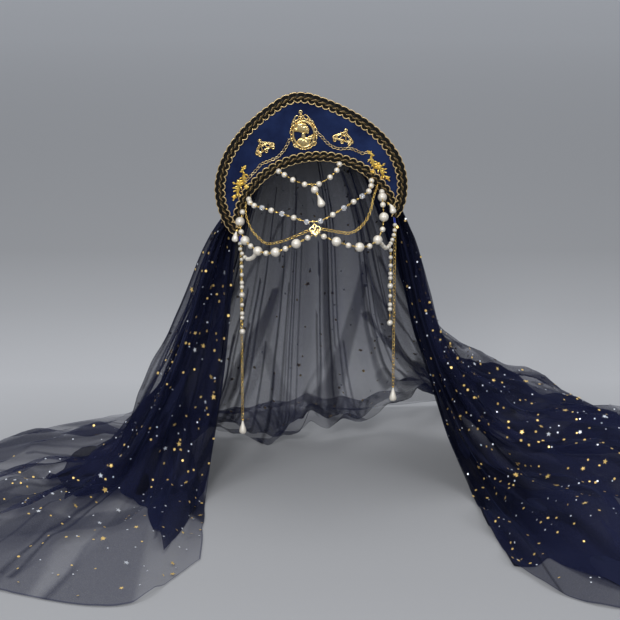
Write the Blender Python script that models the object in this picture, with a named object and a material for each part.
"""Beaded halo headdress with a gathered tulle veil, in metres, +Z up.

The origin is the crown of the head, under the top of the headband. The wearer faces -Y,
and the whole headdress leans with the head that wears it, while its strands and veil fall
straight down. The head itself is only a set of sizes here, for the strings to lie on.
"""

from collections import namedtuple
from math import cos, pi, radians, sin, sqrt

import bmesh
import bpy
from mathutils import Euler, Matrix, Vector

GAP = 0.0003

# Head: how it is held, and the rounded form that strings lie on
HEAD_PITCH = radians(10)
HEAD_ROLL = radians(7)
HEAD_CENTRE = Vector((0, 0.005, -0.076))
HEAD_HALF = Vector((0.080, 0.097, 0.076))

# Arch of the head opening, measured from its centre
ARCH_CENTRE_Z = -0.075
ARCH_RADIUS = 0.075
ARCH_SPREAD = 0.0085
SPREAD_POWER = 1.6

# Halo plate
HaloRow = namedtuple("HaloRow", "angle radius")
HALO_ROWS = [
    HaloRow(0, 0.1520),
    HaloRow(5, 0.1500),
    HaloRow(10, 0.1460),
    HaloRow(20, 0.1390),
    HaloRow(30, 0.1336),
    HaloRow(44, 0.1265),
    HaloRow(60, 0.1175),
    HaloRow(73, 0.1070),
    HaloRow(86, 0.0945),
    HaloRow(91, 0.0878),
]
HALO_TIP_ANGLE = 91
HALO_THICKNESS = 0.003
HALO_STATIONS = 56
PEAK_LEAN = 0.0045
PEAK_HEIGHT = 0.150

# Gimp braid
BRAID_WIDTH = 0.012
BRAID_THICKNESS = 0.002
BRAID_OVERHANG = 0.001
SCALLOP_PITCH = 0.0074
SCALLOP_DEPTH = 0.0012
INNER_BRAID_END = 84
INNER_BRAID_DROP = 0.002

# Headband
BAND_THICKNESS = 0.0024
BAND_WIDTH = 0.014
BAND_LEG = 0.014
BAND_STATIONS = 28

# Cameo brooch
CAMEO_ANGLE = 0.6
CAMEO_RADIUS = 0.1090
CAMEO_HALF_WIDTH = 0.0145
CAMEO_HALF_HEIGHT = 0.0198
CAMEO_OVAL_WIDTH = 0.0112
CAMEO_OVAL_HEIGHT = 0.0142
CAMEO_THICKNESS = 0.0018
CAMEO_LOBES = 12
CAMEO_LOBE_DEPTH = 0.0016
CAMEO_HOLE = 0.0011
CAMEO_RING = 0.0022
BUST_THICKNESS = 0.0030
BUST_DROP = 0.0042
BUST_HEAD_RADIUS = 0.0042
BUST_HEAD_Z = 0.0046
BUST_BACK = [
    (-0.0030, -0.0108),
    (-0.0078, -0.0082),
    (-0.0074, -0.0044),
    (-0.0026, -0.0022),
    (-0.0020, 0.0012),
]
BUST_FRONT = [
    (0.0016, 0.0010),
    (0.0022, -0.0024),
    (0.0062, -0.0050),
    (0.0066, -0.0086),
    (0.0030, -0.0108),
]

# Filigree connectors on the plate
FILIGREE_ANGLE = 24
FILIGREE_RADIUS = 0.1045
FILIGREE_THICKNESS = 0.0014
FILIGREE_HOLE = 0.0010
FILIGREE_PEAK = 0.0105
FILIGREE_BASE = -0.0074
FILIGREE_HALF = [
    (0.0017, 0.0098),
    (0.0021, 0.0080),
    (0.0016, 0.0062),
    (0.0042, 0.0036),
    (0.0060, 0.0006),
    (0.0086, -0.0012),
    (0.0108, -0.0030),
    (0.0108, -0.0052),
    (0.0090, -0.0064),
    (0.0066, -0.0058),
    (0.0046, -0.0040),
    (0.0024, -0.0044),
    (0.0016, -0.0066),
]
FILIGREE_SPOTS = [
    (0, 0.0083),
    (0, 0.0030),
    (0, -0.0056),
    (0.0090, -0.0044),
    (-0.0090, -0.0044),
    (0.0034, -0.0010),
    (-0.0034, -0.0010),
]

# Flower sprays
SprayRow = namedtuple("SprayRow", "angle radius half_width")
SPRAY_ROWS = [
    SprayRow(40.0, 0.1015, 0.0008),
    SprayRow(42.5, 0.1008, 0.0026),
    SprayRow(45.0, 0.1000, 0.0014),
    SprayRow(47.5, 0.0992, 0.0044),
    SprayRow(50.0, 0.0985, 0.0024),
    SprayRow(52.0, 0.0978, 0.0066),
    SprayRow(54.5, 0.0970, 0.0066),
    SprayRow(57.0, 0.0962, 0.0026),
    SprayRow(59.5, 0.0955, 0.0042),
    SprayRow(62.0, 0.0948, 0.0016),
    SprayRow(64.5, 0.0942, 0.0030),
    SprayRow(67.0, 0.0936, 0.0008),
]
SPRAY_THICKNESS = 0.0020

# Chains and strings
SWAG_CHAIN_WIDTH = 0.0033
CHAIN_WIDTH = 0.0030
CHAIN_STEP = 2.7
THREAD_WIDTH = 0.0010
THREAD_SHARE = 0.24
SIDES = 10
SMALL_PEARL = 0.006
LARGE_PEARL = 0.010
MIDDLE_PEARL = 0.008
LOOP_PEARL = 0.005
DROP_WIDTH = 0.008
DROP_LENGTH = 0.015
TEMPLE_DROP_WIDTH = 0.007
TEMPLE_DROP_LENGTH = 0.012
TEMPLE_DROP_NECK = 0.0085
TEMPLE_DROP_FORWARD = 0.0085
TEMPLE_DROP_FALL = 0.020
TEMPLE_DROP_OUT = {"left": 0.004, "right": 0.0085}
END_DROP_LENGTH = 0.017

# Routes of the strings: places on the head's form, across and down from the crown
Spot = namedtuple("Spot", "x z lift")
UPPER_SPOTS = [
    Spot(-0.025, -0.0050, 0.003),
    Spot(-0.011, -0.0082, 0.003),
    Spot(0.004, -0.0108, 0.003),
    Spot(0.016, -0.0092, 0.003),
    Spot(0.026, -0.0072, 0.003),
]
MIDDLE_SPOTS = [
    Spot(-0.064, -0.0305, 0.006),
    Spot(-0.048, -0.0285, 0.006),
    Spot(-0.029, -0.0305, 0.006),
    Spot(0.001, -0.0378, 0.006),
    Spot(0.030, -0.0315, 0.006),
    Spot(0.048, -0.0290, 0.006),
    Spot(0.059, -0.0290, 0.006),
]
FLEUR_REACH = 0.0059
FLEUR_THICKNESS = 0.0014
FLEUR_TOP = 0.0075
FLEUR_HALF = [
    (0.0022, 0.0058),
    (0.0030, 0.0034),
    (0.0056, 0.0030),
    (0.0058, -0.0006),
    (0.0036, -0.0022),
    (0.0020, -0.0046),
]
FLEUR_DIAMOND = [(0, 0.0050), (0.0011, 0.0034), (0, 0.0018), (-0.0011, 0.0034)]
FLEUR_LOOP = (0.0036, 0.0008, 0.0011)
FLEUR_SPOT = Spot(0.0, -0.0458, 0.004)
CHAIN_LEFT_SPOTS = [
    Spot(-0.0725, -0.0445, 0.003),
    Spot(-0.0645, -0.0560, 0.003),
    Spot(-0.0520, -0.0612, 0.003),
    Spot(-0.0380, -0.0570, 0.003),
    Spot(-0.0200, -0.0500, 0.003),
]
CHAIN_RIGHT_SPOTS = [
    Spot(0.020, -0.0502, 0.003),
    Spot(0.036, -0.0560, 0.003),
    Spot(0.048, -0.0540, 0.003),
    Spot(0.058, -0.0470, 0.003),
    Spot(0.064, -0.0380, 0.003),
]
BROW_LEFT_SPOTS = [
    Spot(-0.0805, -0.0550, 0.007),
    Spot(-0.0790, -0.0630, 0.007),
    Spot(-0.0700, -0.0685, 0.007),
    Spot(-0.0580, -0.0705, 0.007),
    Spot(-0.0440, -0.0665, 0.007),
    Spot(-0.0210, -0.0560, 0.007),
]
BROW_RIGHT_SPOTS = [
    Spot(0.0210, -0.0590, 0.007),
    Spot(0.0400, -0.0700, 0.007),
    Spot(0.0550, -0.0755, 0.007),
    Spot(0.0660, -0.0720, 0.007),
    Spot(0.0720, -0.0600, 0.007),
    Spot(0.0730, -0.0480, 0.007),
]
PlateSpot = namedtuple("PlateSpot", "x z")
HALO_CHAIN_LEFT = [
    PlateSpot(-0.0172, 0.0250),
    PlateSpot(-0.0240, 0.0150),
    PlateSpot(-0.0323, 0.0080),
    PlateSpot(-0.0425, 0.0046),
    PlateSpot(-0.0500, 0.0024),
    PlateSpot(-0.0562, -0.0036),
    PlateSpot(-0.0622, -0.0086),
    PlateSpot(-0.0695, -0.0150),
]
HALO_CHAIN_RIGHT = [
    PlateSpot(0.0170, 0.0270),
    PlateSpot(0.0215, 0.0185),
    PlateSpot(0.0280, 0.0118),
    PlateSpot(0.0365, 0.0086),
    PlateSpot(0.0455, 0.0080),
    PlateSpot(0.0525, 0.0045),
    PlateSpot(0.0585, 0.0008),
    PlateSpot(0.0622, 0.0012),
]
SIDE_LOOP_LEFT = [
    Vector((-0.0850, -0.0100, -0.0900)),
    Vector((-0.0800, -0.0220, -0.0950)),
    Vector((-0.0720, -0.0400, -0.0885)),
]
SIDE_LOOP_RIGHT = [
    Vector((0.0825, -0.0120, -0.0905)),
    Vector((0.0775, -0.0260, -0.0960)),
    Vector((0.0720, -0.0420, -0.0945)),
]
UPPER_BEADS = 8
MIDDLE_BEADS = 16
BROW_BEADS = 11
LOOP_BEAD = 5
TEMPLE_BEAD = 1
LOOP_HOOKS = {"left": 1, "right": 2}
STRAND_LENGTH = 0.093
LONG_LENGTHS = {"left": 0.200, "right": 0.182}
STRING_MARGIN = 0.0055


# Veil
Fall = namedtuple("Fall", "share arch_angle heading shoulder knee landing heap hem hem_heading")
VEIL_WALL = 0.0012
TABLE_Z = -0.400
VEIL_AXIS = (0.006, 0.030)
SHOULDER_Z = -0.092
KNEE_Z = -0.240
VEIL_COLUMNS = 60
VEIL_FOLDS = 11
VEIL_FALLS = [
    Fall(0.00, -92, -84, 0.088, 0.104, 0.124, 0.008, 0.330, -149),
    Fall(0.10, -84, -88, 0.112, 0.162, 0.215, 0.020, 0.430, -122),
    Fall(0.22, -66, -74, 0.121, 0.188, 0.262, 0.030, 0.450, -94),
    Fall(0.35, -40, -48, 0.120, 0.178, 0.255, 0.042, 0.430, -56),
    Fall(0.50, 0, 0, 0.104, 0.142, 0.190, 0.035, 0.330, 0),
    Fall(0.65, 40, 48, 0.120, 0.172, 0.255, 0.080, 0.450, 55),
    Fall(0.78, 66, 74, 0.119, 0.168, 0.260, 0.090, 0.470, 90),
    Fall(0.90, 84, 88, 0.110, 0.156, 0.230, 0.045, 0.475, 121),
    Fall(1.00, 92, 84, 0.090, 0.128, 0.178, 0.010, 0.415, 136),
]
VEIL_STAGES = (0, 0.04, 0.22, 0.46, 0.66, 0.84, 1)
VEIL_ROWS = (0, 0.04, 0.07, 0.12, 0.18, 0.25, 0.33, 0.41, 0.49, 0.57, 0.65, 0.73, 0.82, 0.91, 1)
FOLD_DEPTHS = (0, 0.0002, 0.004, 0.009, 0.012, 0.010, 0.004)
FOLD_WANDER = 0.35

Finish = namedtuple("Finish", "colour roughness metallic")
FINISHES = {
    "navy_velvet": Finish((0.010, 0.022, 0.095), 0.85, 0.0),
    "gimp_braid": Finish((0.20, 0.14, 0.05), 0.55, 0.3),
    "blue_satin": Finish((0.010, 0.020, 0.30), 0.35, 0.0),
    "pale_gold": Finish((0.83, 0.66, 0.33), 0.28, 1.0),
    "yellow_gold": Finish((0.80, 0.52, 0.10), 0.38, 1.0),
    "pearl": Finish((0.88, 0.85, 0.78), 0.22, 0.0),
    "navy_tulle": Finish((0.012, 0.016, 0.075), 0.75, 0.0),
}


def make_finish(name):
    finish = FINISHES[name]
    material = bpy.data.materials.new(name)
    material.use_nodes = True
    shader = material.node_tree.nodes["Principled BSDF"]
    shader.inputs["Base Color"].default_value = (*finish.colour, 1)
    shader.inputs["Roughness"].default_value = finish.roughness
    shader.inputs["Metallic"].default_value = finish.metallic
    return material


def add_object(name, data, finish, parent=None):
    data.materials.append(bpy.data.materials[finish])
    thing = bpy.data.objects.new(name, data)
    thing.parent = parent
    bpy.context.scene.collection.objects.link(thing)
    return thing


def mesh_from(name, build, smooth_angle=None):
    """Fill a bmesh with build, turn its faces outwards and return it as a mesh."""
    form = bmesh.new()
    build(form)
    bmesh.ops.recalc_face_normals(form, faces=form.faces)
    mesh = bpy.data.meshes.new(name)
    form.to_mesh(mesh)
    form.free()
    if smooth_angle:
        mesh.shade_smooth()
        mesh.set_sharp_from_angle(angle=radians(smooth_angle))
    return mesh


def row_slope(k, xs, ys):
    """Slope at a table row, from the steps on both sides of it."""
    last = len(xs) - 1
    if k == 0 or k == last:
        a = min(k, last - 1)
        return (ys[a + 1] - ys[a]) / (xs[a + 1] - xs[a])
    before = xs[k] - xs[k - 1]
    after = xs[k + 1] - xs[k]
    rise_before = (ys[k] - ys[k - 1]) / before
    rise_after = (ys[k + 1] - ys[k]) / after
    return (rise_before * after + rise_after * before) / (before + after)


def smooth_value(x, xs, ys):
    """Cubic value between the rows of a table."""
    last = len(xs) - 1
    x = min(max(x, xs[0]), xs[last])
    i = max(k for k in range(last) if xs[k] <= x)
    step = xs[i + 1] - xs[i]
    t = (x - xs[i]) / step
    start = ys[i] * (2 * t**3 - 3 * t**2 + 1) + row_slope(i, xs, ys) * (step * (t**3 - 2 * t**2 + t))
    return start + ys[i + 1] * (3 * t**2 - 2 * t**3) + row_slope(i + 1, xs, ys) * (step * (t**3 - t**2))


def smooth_path(anchors, samples=160):
    """Dense points on one smooth curve through the anchors."""
    marks = [0]
    for a, b in zip(anchors, anchors[1:]):
        marks.append(marks[-1] + (b - a).length)
    return [smooth_value(marks[-1] * i / samples, marks, anchors) for i in range(samples + 1)]


def lengths_along(path):
    marks = [0]
    for a, b in zip(path, path[1:]):
        marks.append(marks[-1] + (b - a).length)
    return marks


def point_along(path, marks, distance):
    for i in range(len(path) - 1):
        if distance <= marks[i + 1] or i == len(path) - 2:
            share = (distance - marks[i]) / (marks[i + 1] - marks[i])
            return path[i].lerp(path[i + 1], share)


def sweep(form, rings):
    """Join rings of equal count into one skin, capped at both ends."""
    loops = [[form.verts.new(point) for point in ring] for ring in rings]
    count = len(loops[0])
    form.faces.new(loops[0])
    form.faces.new(loops[-1])
    for near, far in zip(loops, loops[1:]):
        for k in range(count):
            form.faces.new((near[k], near[(k + 1) % count], far[(k + 1) % count], far[k]))


def pierced_plate(form, outline, holes, thickness, place):
    """Flat plate with an outline and holes in local X and Z, its back face at local Y 0."""
    for loop in [outline] + holes:
        corners = [form.verts.new((x, 0, z)) for x, z in loop]
        for k, corner in enumerate(corners):
            form.edges.new((corner, corners[(k + 1) % len(corners)]))
    bmesh.ops.triangle_fill(form, use_beauty=True, edges=form.edges, normal=(0, -1, 0))
    front = bmesh.ops.extrude_face_region(form, geom=form.faces)["geom"]
    moved = [part for part in front if isinstance(part, bmesh.types.BMVert)]
    bmesh.ops.translate(form, verts=moved, vec=(0, -thickness, 0))
    bmesh.ops.transform(form, matrix=place, verts=form.verts)


def circle(centre_x, centre_z, radius, sides=8):
    turns = [2 * pi * k / sides for k in range(sides)]
    return [(centre_x + radius * cos(turn), centre_z + radius * sin(turn)) for turn in turns]


def spread(angle):
    return ARCH_SPREAD * (abs(angle) / 90) ** SPREAD_POWER


def crown_radius(angle):
    """Inside of the headband, from the arch's centre, at degrees from the top."""
    return ARCH_RADIUS + spread(angle)


def halo_radius(angle):
    return smooth_value(abs(angle), [row.angle for row in HALO_ROWS], [row.radius for row in HALO_ROWS])


def on_arch(angle, radius, y):
    """Point in the plate's plane at degrees from the top, with the peak's lean."""
    turn = radians(angle)
    height = radius * cos(turn)
    lean = PEAK_LEAN * (max(height, 0) / PEAK_HEIGHT) ** 1.5 if radius > ARCH_RADIUS * 1.1 else 0
    return Vector((radius * sin(turn) - lean, y, ARCH_CENTRE_Z + height))


def on_head(x, z, lift):
    """Point on the front of the head's form, grown by lift."""
    half = HEAD_HALF + Vector((lift, lift, lift))
    inside = 1 - (x / half.x) ** 2 - ((z - HEAD_CENTRE.z) / half.z) ** 2
    return Vector((x, HEAD_CENTRE.y - half.y * sqrt(max(inside, 0)), z))


def head_normal(point):
    away = point - HEAD_CENTRE
    return Vector((away.x / HEAD_HALF.x**2, away.y / HEAD_HALF.y**2, away.z / HEAD_HALF.z**2)).normalized()


def head_rotation():
    return Euler((HEAD_PITCH, -HEAD_ROLL, 0)).to_matrix()


def plate_place(angle, radius):
    """Frame on the plate's front, local Z pointing away from the arch's centre."""
    spot = on_arch(angle, radius, -HALO_THICKNESS / 2 - GAP)
    return Matrix.Translation(spot) @ Matrix.Rotation(radians(angle), 4, "Y")


def head_place(point):
    """Frame on the head's form, local Y pointing inwards and local Z up the slope."""
    inward = -head_normal(point)
    across = inward.cross(Vector((0, 0, 1))).normalized()
    upward = across.cross(inward)
    turn = Matrix((across, inward, upward)).transposed()
    return Matrix.Translation(point) @ turn.to_4x4()


def add_halo(head):
    def build(form):
        half = HALO_THICKNESS / 2
        rings = []
        for i in range(HALO_STATIONS + 1):
            angle = HALO_TIP_ANGLE * (2 * i / HALO_STATIONS - 1)
            inner = crown_radius(angle) - INNER_BRAID_DROP / 2
            outer = halo_radius(angle) - BRAID_OVERHANG
            corners = ((inner, -half), (outer, -half), (outer, half), (inner, half))
            rings.append([on_arch(angle, radius, y) for radius, y in corners])
        sweep(form, rings)

    add_object("halo", mesh_from("halo", build), "navy_velvet", head)


def braid_rings(last_angle, edges):
    """Cross sections of a braid whose two edges scallop together along the arch."""
    back = -HALO_THICKNESS / 2 - GAP
    front = back - BRAID_THICKNESS
    rings = []
    angle = -last_angle
    crest = True
    while angle <= last_angle:
        inner, outer = edges(angle)
        nip = 0 if crest else SCALLOP_DEPTH
        corners = ((inner + nip, back), (outer - nip, back), (outer - nip, front), (inner + nip, front))
        rings.append([on_arch(angle, radius, y) for radius, y in corners])
        angle += SCALLOP_PITCH / 2 / outer * 180 / pi
        crest = not crest
    return rings


def add_outer_braid(head):
    def edges(angle):
        outer = halo_radius(angle)
        inner = max(outer - BRAID_WIDTH, crown_radius(angle) - INNER_BRAID_DROP)
        return inner, outer

    mesh = mesh_from("outer_braid", lambda form: sweep(form, braid_rings(HALO_TIP_ANGLE, edges)))
    add_object("outer_braid", mesh, "gimp_braid", head)


def add_inner_braid(head):
    def edges(angle):
        inner = crown_radius(angle) - INNER_BRAID_DROP
        room = halo_radius(angle) - BRAID_WIDTH - GAP
        return inner, min(inner + BRAID_WIDTH, room)

    mesh = mesh_from("inner_braid", lambda form: sweep(form, braid_rings(INNER_BRAID_END, edges)))
    add_object("inner_braid", mesh, "gimp_braid", head)


def band_stations():
    """Angle, extra drop and arch radius for each section of the headband."""
    rows = [(-90, BAND_LEG), (-90, BAND_LEG / 2)]
    rows += [(180 * i / BAND_STATIONS - 90, 0) for i in range(BAND_STATIONS + 1)]
    rows += [(90, BAND_LEG / 2), (90, BAND_LEG)]
    return rows


def add_headband(head):
    def build(form):
        front = HALO_THICKNESS / 2 + GAP
        back = front + BAND_WIDTH
        rings = []
        for angle, drop in band_stations():
            inner = crown_radius(angle)
            outer = inner + BAND_THICKNESS
            corners = ((inner, front), (outer, front), (outer, back), (inner, back))
            ring = []
            for radius, y in corners:
                turn = radians(angle)
                ring.append(Vector((radius * sin(turn), y, ARCH_CENTRE_Z + radius * cos(turn) - drop)))
            rings.append(ring)
        sweep(form, rings)

    add_object("headband", mesh_from("headband", build), "blue_satin", head)


def cameo_outline():
    outline = []
    steps = CAMEO_LOBES * 4
    for k in range(steps):
        turn = 2 * pi * (k + 0.5) / steps
        wave = CAMEO_LOBE_DEPTH * abs(sin(CAMEO_LOBES * turn / 2))
        outline.append(((CAMEO_HALF_WIDTH + wave) * sin(turn), (CAMEO_HALF_HEIGHT + wave) * cos(turn)))
    return outline


def bust_outline():
    """Head, neck and shoulders of the raised figure, facing right, as one plain outline."""
    crown = []
    for k in range(9):
        turn = radians(215 - 31 * k)
        crown.append((BUST_HEAD_RADIUS * cos(turn), BUST_HEAD_Z + BUST_HEAD_RADIUS * sin(turn)))
    return BUST_BACK + crown + BUST_FRONT


def add_cameo(head):
    place = plate_place(CAMEO_ANGLE, CAMEO_RADIUS)
    middle_width = (CAMEO_OVAL_WIDTH + CAMEO_HALF_WIDTH) / 2
    middle_height = (CAMEO_OVAL_HEIGHT + CAMEO_HALF_HEIGHT) / 2

    def frame(form):
        oval = []
        for k in range(24):
            turn = 2 * pi * k / 24
            oval.append((CAMEO_OVAL_WIDTH * sin(turn), CAMEO_OVAL_HEIGHT * cos(turn)))
        holes = [oval]
        for k in range(CAMEO_LOBES):
            turn = 2 * pi * (k + 0.5) / CAMEO_LOBES
            holes.append(circle(middle_width * sin(turn), middle_height * cos(turn), CAMEO_HOLE, 6))
        pierced_plate(form, cameo_outline(), holes, CAMEO_THICKNESS, place)

    def figure(form):
        base = place @ Matrix.Translation((0, -CAMEO_THICKNESS / 4, -BUST_DROP))
        pierced_plate(form, bust_outline(), [], BUST_THICKNESS, base)

    def ring(form):
        loop_z = CAMEO_HALF_HEIGHT + CAMEO_RING * 0.6
        base = place @ Matrix.Translation((0, -CAMEO_THICKNESS / 8, 0))
        hole = circle(0, loop_z, CAMEO_HOLE)
        pierced_plate(form, circle(0, loop_z, CAMEO_RING), [hole], CAMEO_THICKNESS * 0.8, base)

    brooch = add_object("cameo_brooch", mesh_from("cameo_brooch", frame), "pale_gold", head)
    join_to(brooch, "cameo_figure", figure, head)
    join_to(brooch, "cameo_ring", ring, head)


def join_to(whole, name, build, parent):
    """Solder another form to a piece with a Boolean union."""
    guide = add_object(name, mesh_from(name, build), "pale_gold", parent)
    guide.hide_render = True
    guide.display_type = "WIRE"
    union = whole.modifiers.new(name, "BOOLEAN")
    union.operation = "UNION"
    union.solver = "EXACT"
    union.object = guide


def mirrored_outline(top, half, bottom):
    """Closed outline from its right half, listed from top to bottom."""
    return [(0, top)] + half + [(0, bottom)] + [(-x, z) for x, z in reversed(half)]


def filigree_outline():
    """Triangle with a ring at its peak and three along its base, and the holes that pierce it."""
    holes = [circle(x, z, FILIGREE_HOLE, 6) for x, z in FILIGREE_SPOTS]
    return mirrored_outline(FILIGREE_PEAK, FILIGREE_HALF, FILIGREE_BASE), holes


def add_filigree(head):
    outline, holes = filigree_outline()
    for side, word in ((-1, "left"), (1, "right")):
        place = plate_place(side * FILIGREE_ANGLE, FILIGREE_RADIUS)
        name = "filigree_" + word
        mesh = mesh_from(name, lambda form: pierced_plate(form, outline, holes, FILIGREE_THICKNESS, place))
        add_object(name, mesh, "pale_gold", head)


def add_sprays(head):
    back = -HALO_THICKNESS / 2 - GAP
    front = back - SPRAY_THICKNESS
    for side, word in ((-1, "left"), (1, "right")):

        def build(form):
            rings = []
            for row in SPRAY_ROWS:
                out = on_arch(side * row.angle, row.radius + row.half_width, back)
                into = on_arch(side * row.angle, row.radius - row.half_width, back)
                ridge = on_arch(side * row.angle, row.radius, front)
                rings.append([out, ridge, into])
            sweep(form, rings)

        name = "spray_" + word
        add_object(name, mesh_from(name, build), "yellow_gold", head)


def add_chain(name, anchors, width, finish, parent=None, neck=1):
    """Plain round bar along a hanging chain's route, its first end narrowed to a share of its width."""
    path = smooth_path(anchors)
    marks = lengths_along(path)
    count = max(4, round(marks[-1] / (CHAIN_STEP * width)))
    curve = bpy.data.curves.new(name, "CURVE")
    curve.dimensions = "3D"
    curve.bevel_depth = width / 2
    curve.bevel_resolution = 2
    curve.render_resolution_u = 0
    curve.use_fill_caps = True
    spline = curve.splines.new("POLY")
    places = [point_along(path, marks, marks[-1] * k / count) for k in range(count + 1)]
    spline.points.add(count)
    for point, place in zip(spline.points, places):
        point.co = (*place, 1)
    spline.points[0].radius = neck
    add_object(name, curve, finish, parent)
    return places


def string_rings(path, stations):
    """Round sections of given distance and radius along a path, without twist."""
    marks = lengths_along(path)
    rings = []
    side = None
    for distance, radius in stations:
        centre = point_along(path, marks, distance)
        ahead = point_along(path, marks, min(distance + 0.001, marks[-1]))
        behind = point_along(path, marks, max(distance - 0.001, 0))
        along = (ahead - behind).normalized()
        if side is None:
            side = along.orthogonal()
        side = (side - along * side.dot(along)).normalized()
        other = along.cross(side)
        turns = [2 * pi * k / SIDES for k in range(SIDES)]
        rings.append([centre + side * (radius * cos(turn)) + other * (radius * sin(turn)) for turn in turns])
    return rings


def bead_stations(centre, radius, equator):
    thread = THREAD_WIDTH / 2
    reach = sqrt(radius**2 - thread**2)
    rows = [(centre - reach, thread), (centre - 0.42 * radius, 0.94 * radius)]
    if equator:
        rows.insert(2, (centre, radius))
        rows[1] = (centre - 0.62 * radius, 0.80 * radius)
    mirrored = [(2 * centre - distance, size) for distance, size in reversed(rows) if distance < centre - GAP]
    return rows + mirrored


def add_string(name, anchors, beads, parent):
    """Beads of the given widths spaced evenly along a thread, as one closed form."""
    path = smooth_path(anchors)
    total = lengths_along(path)[-1]
    step = (total - 2 * STRING_MARGIN) / (len(beads) - 1)
    stations = [(0, THREAD_WIDTH / 2)]
    for k, width in enumerate(beads):
        stations += bead_stations(STRING_MARGIN + k * step, width / 2, width > SMALL_PEARL)
    stations.append((total, THREAD_WIDTH / 2))
    mesh = mesh_from(name, lambda form: sweep(form, string_rings(path, stations)), smooth_angle=50)
    return add_object(name, mesh, "pearl", parent)


def drop_stations(top, width, length):
    """Sections of a pear-shaped drop that is broad at its lower end."""
    thread = THREAD_WIDTH / 2
    profile = ((0.0, thread), (0.28, 0.42), (0.55, 0.82), (0.76, 1.0), (0.93, 0.62), (1.0, 0.12))
    rows = [(top, thread)]
    for share, size in profile[1:]:
        rows.append((top + share * length, size * width / 2))
    return rows


def front_seat(angle, radius_in, width):
    """Where a string of this width ends on the inner braid's face."""
    y = -HALO_THICKNESS / 2 - 2 * GAP - BRAID_THICKNESS - width / 2
    return on_arch(angle, crown_radius(angle) - INNER_BRAID_DROP + radius_in, y)


def on_spots(spots):
    return [on_head(spot.x, spot.z, spot.lift) for spot in spots]


def bead_centre(route, count, number):
    """Place on a string of evenly spaced beads, counted in beads from its first end."""
    path = smooth_path(route)
    marks = lengths_along(path)
    step = (marks[-1] - 2 * STRING_MARGIN) / (count - 1)
    return point_along(path, marks, STRING_MARGIN + number * step)


def thread_middle(route, count, number):
    """Middle of the straight bare thread after a bead."""
    near = bead_centre(route, count, number + THREAD_SHARE)
    return near.lerp(bead_centre(route, count, number + 1 - THREAD_SHARE), 0.5)


def upper_route():
    start = front_seat(-26.5, 0.003, THREAD_WIDTH)
    end = front_seat(26, 0.003, THREAD_WIDTH)
    return [start] + on_spots(UPPER_SPOTS) + [end]


def add_upper_festoon(head):
    add_string("upper_festoon", upper_route(), [SMALL_PEARL] * UPPER_BEADS, head)


def add_centre_drop(head):
    knot = thread_middle(upper_route(), UPPER_BEADS, UPPER_BEADS // 2 - 1)
    turn = on_head(0.007, -0.0180, 0.003)
    bottom = on_head(0.0115, -0.0340, 0.003)
    top = knot + (turn - knot).normalized() * (THREAD_WIDTH + GAP)
    path = smooth_path([top, turn, bottom])
    pearl = MIDDLE_PEARL / 2
    stations = [(0, THREAD_WIDTH / 2)] + bead_stations(0.0015 + pearl, pearl, True)
    stations += drop_stations(0.0015 + MIDDLE_PEARL + 0.003, DROP_WIDTH, DROP_LENGTH)
    mesh = mesh_from("centre_drop", lambda form: sweep(form, string_rings(path, stations)), smooth_angle=50)
    add_object("centre_drop", mesh, "pearl", head)


def add_middle_festoon(head):
    start = front_seat(-59, 0.003, THREAD_WIDTH)
    end = front_seat(54.5, 0.003, THREAD_WIDTH)
    add_string("middle_festoon", [start] + on_spots(MIDDLE_SPOTS) + [end], [SMALL_PEARL] * MIDDLE_BEADS, head)


def add_fleur(head):
    place = head_place(on_head(FLEUR_SPOT.x, FLEUR_SPOT.z, FLEUR_SPOT.lift))
    outline = mirrored_outline(FLEUR_TOP, FLEUR_HALF, -FLEUR_TOP)
    loop_x, loop_z, loop_radius = FLEUR_LOOP
    holes = [FLEUR_DIAMOND, circle(loop_x, loop_z, loop_radius, 6), circle(-loop_x, loop_z, loop_radius, 6)]

    def build(form):
        pierced_plate(form, outline, holes, FLEUR_THICKNESS, place)

    mesh = mesh_from("fleur_connector", build)
    add_object("fleur_connector", mesh, "pale_gold", head)


def fleur_side(x, rise):
    """Point beside the fleur connector, in the head's frame."""
    place = head_place(on_head(FLEUR_SPOT.x, FLEUR_SPOT.z, FLEUR_SPOT.lift))
    return place @ Vector((x, -FLEUR_THICKNESS / 2, rise))


def add_brow_chains(head):
    reach = FLEUR_REACH + 2 * GAP
    start = front_seat(-63, 0.003, CHAIN_WIDTH)
    left = [start] + on_spots(CHAIN_LEFT_SPOTS) + [fleur_side(-reach, 0.001)]
    add_chain("brow_chain_left", left, CHAIN_WIDTH, "pale_gold", head)
    end = front_seat(61, 0.003, CHAIN_WIDTH)
    right = [fleur_side(reach, 0.001)] + on_spots(CHAIN_RIGHT_SPOTS) + [end]
    add_chain("brow_chain_right", right, CHAIN_WIDTH, "pale_gold", head)


def brow_routes():
    left = [front_seat(-68, 0.003, THREAD_WIDTH)] + on_spots(BROW_LEFT_SPOTS) + [fleur_side(-0.0034, -0.0046)]
    right = [front_seat(66, 0.003, THREAD_WIDTH)] + on_spots(reversed(BROW_RIGHT_SPOTS))
    return {"left": left, "right": right + [fleur_side(0.0034, -0.0046)]}


def add_brow_strings(head):
    beads = [SMALL_PEARL, LARGE_PEARL] * (BROW_BEADS // 2) + [SMALL_PEARL]
    for word, route in brow_routes().items():
        add_string("brow_string_" + word, route, beads, head)


def add_halo_chains(head):
    for word, spots in (("left", HALO_CHAIN_LEFT), ("right", HALO_CHAIN_RIGHT)):
        y = -HALO_THICKNESS / 2 - GAP - SWAG_CHAIN_WIDTH / 2
        route = [Vector((spot.x, y, spot.z)) for spot in spots]
        add_chain("halo_chain_" + word, route, SWAG_CHAIN_WIDTH, "pale_gold", head)


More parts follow.
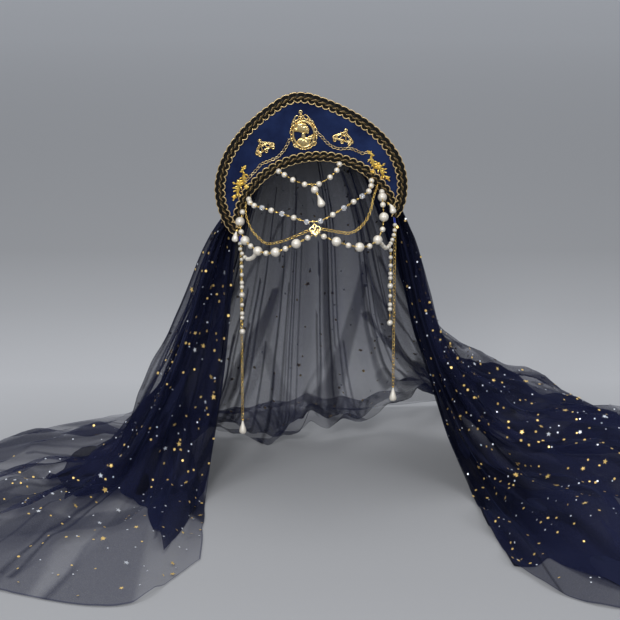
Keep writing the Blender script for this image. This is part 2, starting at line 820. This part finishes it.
def leg_point(side, y, below):
    """Point on a headband leg, y back from its front face and below its foot."""
    middle = crown_radius(90) + BAND_THICKNESS / 2
    return Vector((side * middle, HALO_THICKNESS / 2 + GAP + y, ARCH_CENTRE_Z - BAND_LEG - below))


def side_loop_route(side, word):
    bead = bead_centre(brow_routes()[word], BROW_BEADS, LOOP_BEAD)
    spots = SIDE_LOOP_LEFT if side < 0 else SIDE_LOOP_RIGHT
    seat = bead + (spots[-1] - bead).normalized() * (LARGE_PEARL / 2 + GAP)
    return [leg_point(side, -2 * GAP - LOOP_PEARL / 2, -LOOP_PEARL)] + spots + [seat]


def drop_mesh(name, path, neck, width, length):
    stations = [(0, THREAD_WIDTH / 2)] + drop_stations(neck, width, length)
    return mesh_from(name, lambda form: sweep(form, string_rings(path, stations)), smooth_angle=50)


def add_hanging_strands(head):
    down = Vector((0, 0, -1))
    turn = head_rotation()
    for side, word in ((-1, "left"), (1, "right")):
        places = add_chain("side_loop_" + word, side_loop_route(side, word), LOOP_PEARL, "pearl", head)
        hook = turn @ places[LOOP_HOOKS[word]]
        top = hook + down * (LOOP_PEARL / 2 + 2 * GAP)
        foot = top + down * STRAND_LENGTH
        route = [top, (top + foot) / 2, foot]
        add_chain("short_strand_" + word, route, LOOP_PEARL, "pearl", neck=THREAD_WIDTH / LOOP_PEARL)
        top = turn @ leg_point(side, 0.004, 0) + down * (GAP + CHAIN_WIDTH / 4)
        foot = top + down * LONG_LENGTHS[word]
        add_chain("long_chain_" + word, [top, (top + foot) / 2, foot], CHAIN_WIDTH, "pale_gold")
        name = "end_drop_" + word
        path = [foot + down * GAP, foot + down * 0.025]
        add_object(name, drop_mesh(name, path, 0.001, DROP_WIDTH, END_DROP_LENGTH), "pearl")


def temple_drop_route(side, word):
    """Route of a drop that leaves the brow string forwards and outwards, then falls."""
    thread = head_rotation() @ thread_middle(brow_routes()[word], BROW_BEADS, TEMPLE_BEAD)
    outward = Vector((side * TEMPLE_DROP_OUT[word], 0, 0))
    top = thread + Vector((side * (THREAD_WIDTH + GAP), 0, 0))
    shoulder = thread + outward + Vector((0, -TEMPLE_DROP_FORWARD, -TEMPLE_DROP_FALL / 5))
    return [top, shoulder, shoulder + outward / 2 + Vector((0, 0, -TEMPLE_DROP_FALL))]


def add_temple_drops():
    for side, word in ((-1, "left"), (1, "right")):
        path = smooth_path(temple_drop_route(side, word))
        name = "temple_drop_" + word
        mesh = drop_mesh(name, path, TEMPLE_DROP_NECK, TEMPLE_DROP_WIDTH, TEMPLE_DROP_LENGTH)
        add_object(name, mesh, "pearl")


def around_axis(reach, heading, z):
    """Point at a reach from the veil's upright axis, heading in degrees from the back."""
    turn = radians(heading)
    return Vector((VEIL_AXIS[0] + reach * sin(turn), VEIL_AXIS[1] + reach * cos(turn), z))


def veil_spots(share):
    """Points that one falling line of the veil passes through, from gather to hem."""
    shares = [fall.share for fall in VEIL_FALLS]
    line = Fall(*(smooth_value(share, shares, column) for column in zip(*VEIL_FALLS)))
    radius = crown_radius(line.arch_angle) + BAND_THICKNESS + GAP + VEIL_WALL / 2
    turn = radians(line.arch_angle)
    spots = []
    for back in (0.008, 0.0175):
        point = Vector((radius * sin(turn), back, ARCH_CENTRE_Z + radius * cos(turn)))
        spots.append(head_rotation() @ point)
    middle_reach = (line.landing + line.hem) / 2
    middle_heading = (line.heading + line.hem_heading) / 2
    spots.append(around_axis(line.shoulder, line.heading, SHOULDER_Z))
    spots.append(around_axis(line.knee, line.heading, KNEE_Z))
    spots.append(around_axis(line.landing, line.heading, TABLE_Z + 0.012 + line.heap * 0.7))
    spots.append(around_axis(middle_reach, middle_heading, TABLE_Z + line.heap))
    spots.append(around_axis(line.hem, line.hem_heading, TABLE_Z + VEIL_WALL))
    return spots


def grid_normals(grid):
    """Unit normals of a grid of points, from each point's neighbours."""
    columns = len(grid) - 1
    rows = len(grid[0]) - 1
    normals = []
    for i in range(columns + 1):
        line = []
        for j in range(rows + 1):
            across = grid[min(i + 1, columns)][j] - grid[max(i - 1, 0)][j]
            down = grid[i][min(j + 1, rows)] - grid[i][max(j - 1, 0)]
            line.append(across.cross(down).normalized())
        normals.append(line)
    return normals


def fold_height(share, fall):
    """How far a fold stands off the veil's smooth fall."""
    wander = FOLD_WANDER * fall * sin(5 * fall + 3 * share)
    return smooth_value(fall, VEIL_STAGES, FOLD_DEPTHS) * sin(2 * pi * (VEIL_FOLDS * share + wander))


def veil_grid():
    """Points of the veil's middle surface, folds included and never under the table."""
    shares = [i / VEIL_COLUMNS for i in range(VEIL_COLUMNS + 1)]
    base = []
    for share in shares:
        spots = veil_spots(share)
        base.append([smooth_value(fall, VEIL_STAGES, spots) for fall in VEIL_ROWS])
    normals = grid_normals(base)
    for i, share in enumerate(shares):
        for j, fall in enumerate(VEIL_ROWS):
            base[i][j] += normals[i][j] * fold_height(share, fall)
            base[i][j].z = max(base[i][j].z, TABLE_Z + VEIL_WALL)
    return base


def add_veil():
    def build(form):
        grid = veil_grid()
        normals = grid_normals(grid)
        columns = range(len(grid) - 1)
        rows = range(len(VEIL_ROWS) - 1)
        skins = []
        for face in (0.5, -0.5):
            reach = face * VEIL_WALL
            skin = []
            for line, ways in zip(grid, normals):
                skin.append([form.verts.new(point + way * reach) for point, way in zip(line, ways)])
            skins.append(skin)
            for i in columns:
                for j in rows:
                    form.faces.new((skin[i][j], skin[i + 1][j], skin[i + 1][j + 1], skin[i][j + 1]))
        near, far = skins
        for i in columns:
            for j in (0, -1):
                form.faces.new((near[i][j], near[i + 1][j], far[i + 1][j], far[i][j]))
        for j in rows:
            for i in (0, -1):
                form.faces.new((near[i][j], near[i][j + 1], far[i][j + 1], far[i][j]))

    add_object("veil", mesh_from("veil", build, smooth_angle=60), "navy_tulle")


def main():
    for thing in list(bpy.data.objects):
        bpy.data.objects.remove(thing, do_unlink=True)
    for name in FINISHES:
        make_finish(name)
    head = bpy.data.objects.new("head_frame", None)
    head.rotation_euler = (HEAD_PITCH, -HEAD_ROLL, 0)
    bpy.context.scene.collection.objects.link(head)
    add_halo(head)
    add_outer_braid(head)
    add_inner_braid(head)
    add_headband(head)
    add_cameo(head)
    add_filigree(head)
    add_sprays(head)
    add_halo_chains(head)
    add_upper_festoon(head)
    add_centre_drop(head)
    add_middle_festoon(head)
    add_fleur(head)
    add_brow_chains(head)
    add_brow_strings(head)
    add_hanging_strands(head)
    add_temple_drops()
    add_veil()


main()
